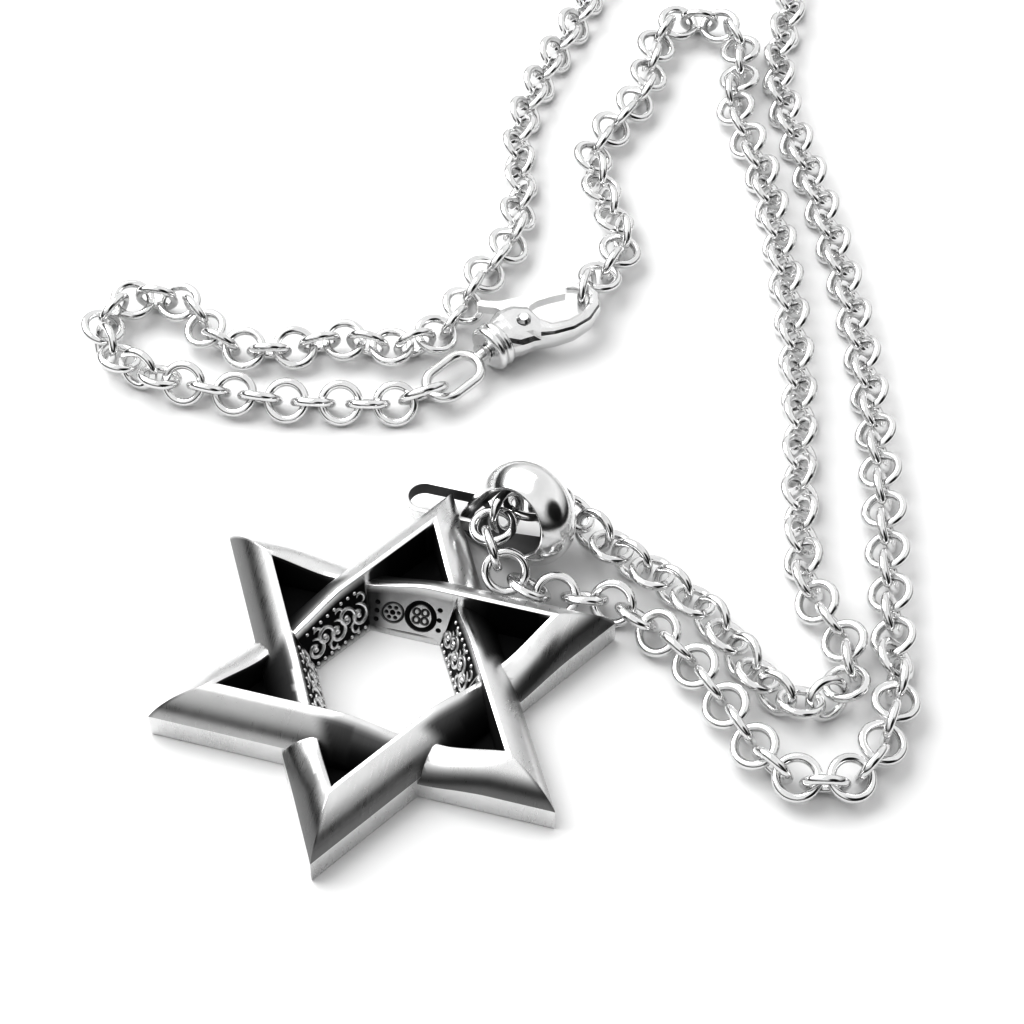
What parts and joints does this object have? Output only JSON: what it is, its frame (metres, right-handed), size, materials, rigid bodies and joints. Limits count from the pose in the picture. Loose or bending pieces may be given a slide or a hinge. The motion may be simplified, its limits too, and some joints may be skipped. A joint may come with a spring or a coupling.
{
  "type": "star pendant necklace",
  "caption": "Interlaced six-pointed star pendant in solid silver, hung by a teardrop bail on a round-link cable chain with a claw clasp.",
  "frame": {"origin": "centre of the six-sided window, in the plane of the star's flat back", "axes": "+Z out of the star's front, +Y from the window to the tip with the loop, +X to the right seen from the front"},
  "size_m": [0.0831, 0.1285, 0.0101],
  "materials": {
    "star_silver": "polished silver, darkened in the recesses",
    "bail_silver": "polished silver",
    "chain_silver": "polished silver wire",
    "clasp_silver": "polished silver, light wear"
  },
  "bodies": {
    "necklace": {"star": "star_silver", "bail": "bail_silver", "chain_a": "chain_silver", "chain_b": "chain_silver", "end_ring": "chain_silver", "catch_ring": "chain_silver", "swivel_eye": "clasp_silver", "clasp_body": "clasp_silver", "lever_pin": "clasp_silver"},
    "lever": {"clasp_lever": "clasp_silver"}
  },
  "joints": [
    {"name": "lever_hinge", "type": "hinge", "parent": "necklace", "child": "lever", "pos_m": [0.00071, 0.04122, 0.00254], "axis": [-0.025, 0.1073, -0.9939], "range_deg": [0, 16], "stiffness_Nm_per_rad": 0.002, "springref_deg": -28.65}
  ]
}
